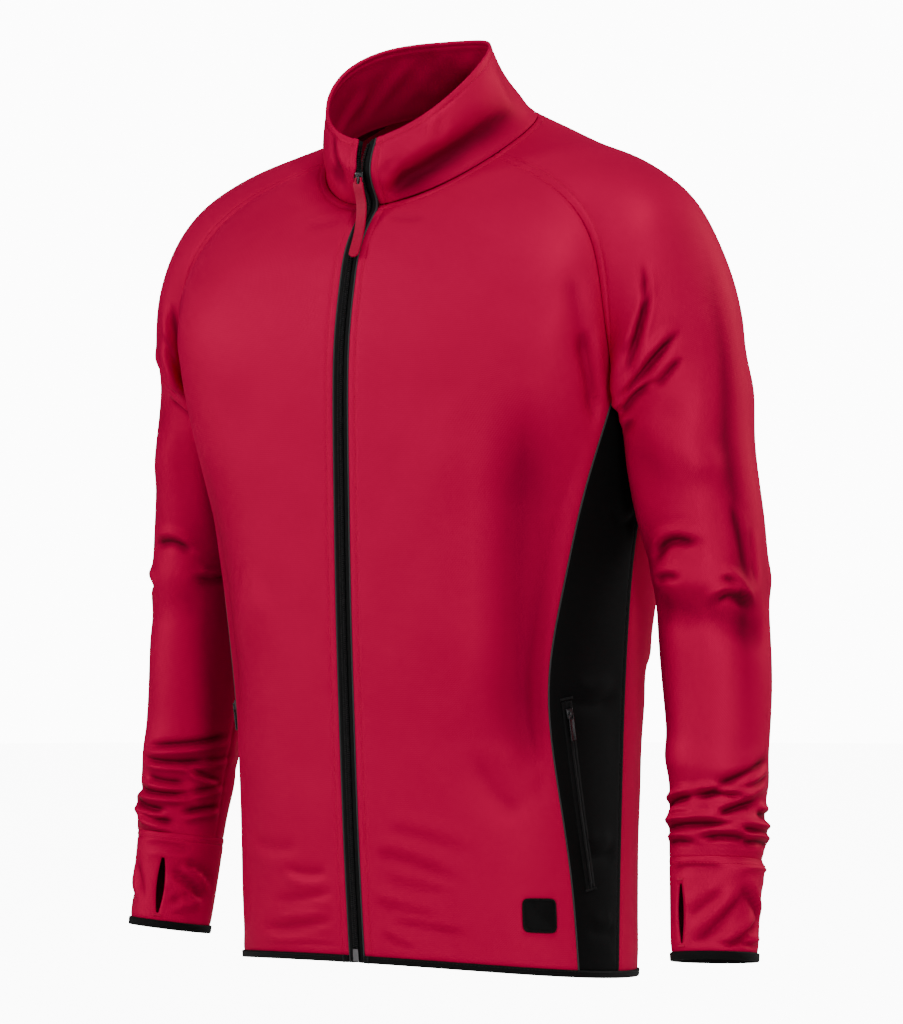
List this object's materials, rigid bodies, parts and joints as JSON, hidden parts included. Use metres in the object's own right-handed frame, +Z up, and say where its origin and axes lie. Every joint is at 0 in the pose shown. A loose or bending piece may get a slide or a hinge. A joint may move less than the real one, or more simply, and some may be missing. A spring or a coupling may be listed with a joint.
{
  "type": "fleece jacket",
  "caption": "Close-fitting zip-up fleece jacket with a stand-up collar, raglan sleeves, thumb-hole cuffs, contrast side panels and bound edges, in the form it has when worn.",
  "frame": {"origin": "base of the neck, midway between the shoulders, which carry the jacket", "axes": "+Z up, the front faces -Y, and the wearer's left is at +X"},
  "size_m": [0.6306, 0.2764, 0.7838],
  "materials": {
    "red_knit": "brushed stretch knit, dark red",
    "black_knit": "matt black stretch knit and binding",
    "zip_tape": "woven black zip tape",
    "zip_coil": "black coil teeth",
    "piping": "dark grey piping",
    "gunmetal": "dark cast metal",
    "red_tab": "soft moulded red zip tab"
  },
  "bodies": {
    "jacket": {"back": "red_knit", "collar": "red_knit", "cuff_binding_left": "black_knit", "cuff_binding_right": "black_knit", "cuff_left": "red_knit", "cuff_right": "red_knit", "front_left": "red_knit", "front_right": "red_knit", "hem_binding": "black_knit", "patch": "black_knit", "piping_left": "piping", "piping_right": "piping", "pocket_slider_left": "gunmetal", "pocket_slider_right": "gunmetal", "pocket_zip_left": "zip_tape", "pocket_zip_right": "zip_tape", "side_left": "black_knit", "side_right": "black_knit", "sleeve_left": "red_knit", "sleeve_right": "red_knit", "zip_box": "gunmetal", "zip_slider": "gunmetal", "zip_tape_left": "zip_tape", "zip_tape_right": "zip_tape", "zip_teeth_left": "zip_coil", "zip_teeth_right": "zip_coil"},
    "front_tab": {"zip_pull": "red_tab"},
    "pocket_tab_left": {"pocket_pull_left": "gunmetal"},
    "pocket_tab_right": {"pocket_pull_right": "gunmetal"}
  },
  "joints": [
    {"name": "front_tab_hinge", "type": "hinge", "parent": "jacket", "child": "front_tab", "pos_m": [0, -0.11192, -0.05701], "axis": [-1, 0, 0], "range_deg": [0, 150]},
    {"name": "pocket_tab_left_hinge", "type": "hinge", "parent": "jacket", "child": "pocket_tab_left", "pos_m": [0.17172, -0.05513, -0.49475], "axis": [-0.4026, -0.8982, -0.1767], "range_deg": [0, 150]},
    {"name": "pocket_tab_right_hinge", "type": "hinge", "parent": "jacket", "child": "pocket_tab_right", "pos_m": [-0.17172, -0.05513, -0.49475], "axis": [-0.4026, 0.8982, 0.1767], "range_deg": [0, 150]}
  ]
}
